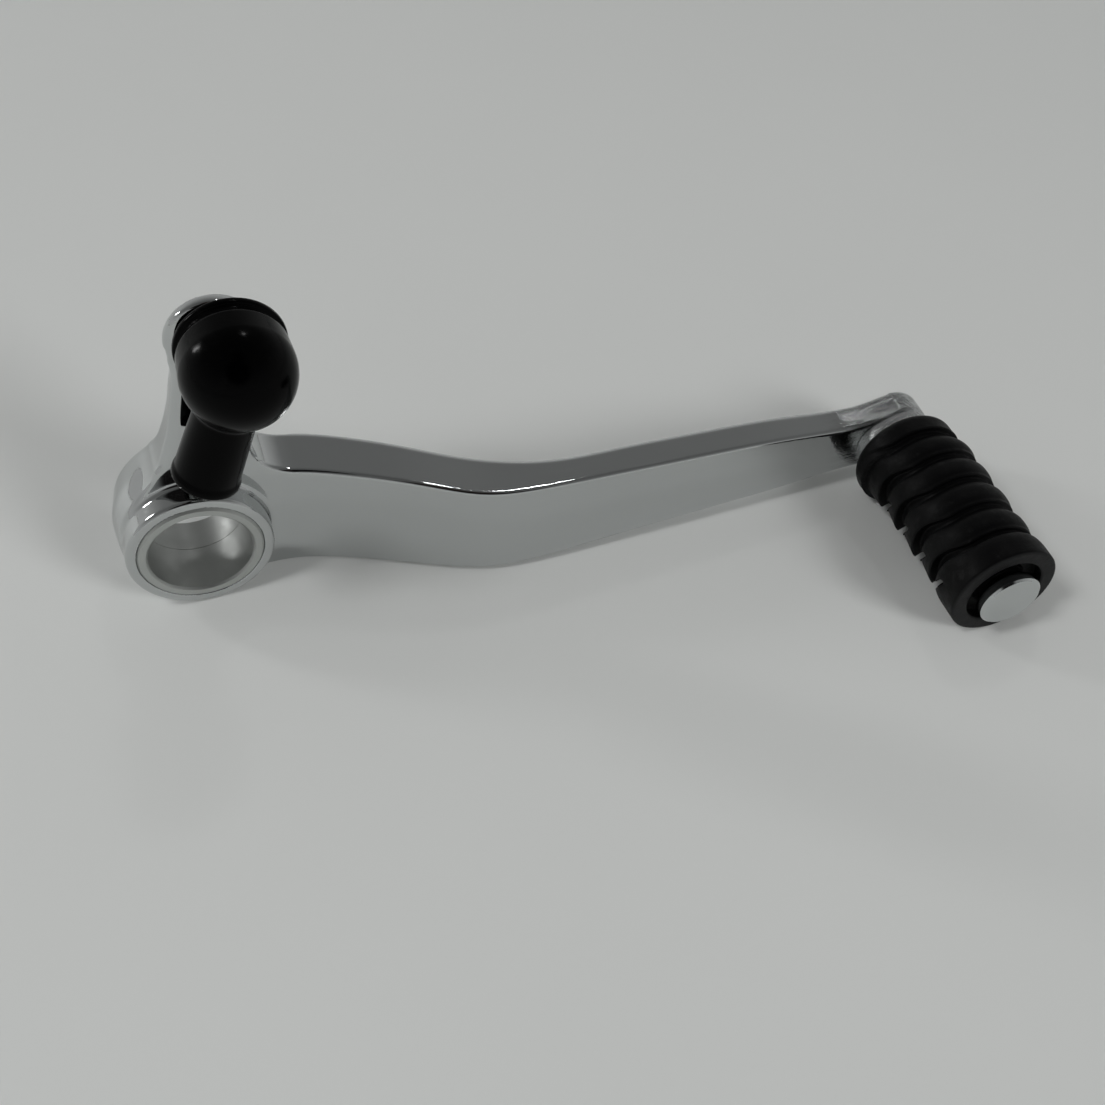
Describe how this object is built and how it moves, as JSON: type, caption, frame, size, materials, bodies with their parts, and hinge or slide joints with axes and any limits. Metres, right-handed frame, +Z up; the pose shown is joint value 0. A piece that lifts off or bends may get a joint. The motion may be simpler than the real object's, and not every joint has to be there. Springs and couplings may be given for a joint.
{
  "type": "gear shift lever",
  "caption": "Chromed motorcycle gear shift lever: bushed pivot hub, long arm with a ribbed rubber foot peg, short upright arm with a booted ball joint for the linkage rod.",
  "frame": {"origin": "on the axis of the pivot bore, where its two bushes meet", "axes": "+Y along the pivot bore, away from the rider's foot, +X from the pivot towards the foot peg, +Z up with the lever standing on its hub and on the peg's rubber"},
  "size_m": [0.1705, 0.0748, 0.0701],
  "materials": {
    "lever_chrome": "polished chrome plate over a steel forging",
    "bush_steel": "fine bored steel",
    "peg_chrome": "polished chrome plate",
    "weld_chrome": "plated weld bead",
    "peg_rubber": "moulded satin rubber",
    "boot_rubber": "glossy moulded rubber",
    "stud_steel": "ground steel",
    "seat_polymer": "moulded acetal",
    "socket_zinc": "zinc plate"
  },
  "bodies": {
    "lever": {"lever_arm": "lever_chrome", "pivot_bush_front": "bush_steel", "pivot_bush_rear": "bush_steel", "peg_rod": "peg_chrome", "peg_weld_bead": "weld_chrome", "peg_rubber": "peg_rubber", "ball_stud": "stud_steel"},
    "swivel": {"boot_lip": "boot_rubber"},
    "boot": {"dust_boot": "boot_rubber"},
    "socket": {"joint_housing": "socket_zinc", "ball_seat": "seat_polymer", "closing_plate": "socket_zinc", "snap_ring": "stud_steel"}
  },
  "joints": [
    {"name": "joint_swing", "type": "hinge", "parent": "lever", "child": "swivel", "pos_m": [0.0135, -0.0142, 0.046], "axis": [0, 1, 0], "continuous": true},
    {"name": "joint_tilt", "type": "hinge", "parent": "swivel", "child": "boot", "pos_m": [0.0135, -0.0142, 0.046], "axis": [0.9225, 0, -0.3859], "range_deg": [-14, 9], "deforming": ["dust_boot"]},
    {"name": "joint_roll", "type": "hinge", "parent": "boot", "child": "socket", "pos_m": [0.0135, -0.0142, 0.046], "axis": [-0.3859, 0, -0.9225], "range_deg": [-12, 12]}
  ]
}
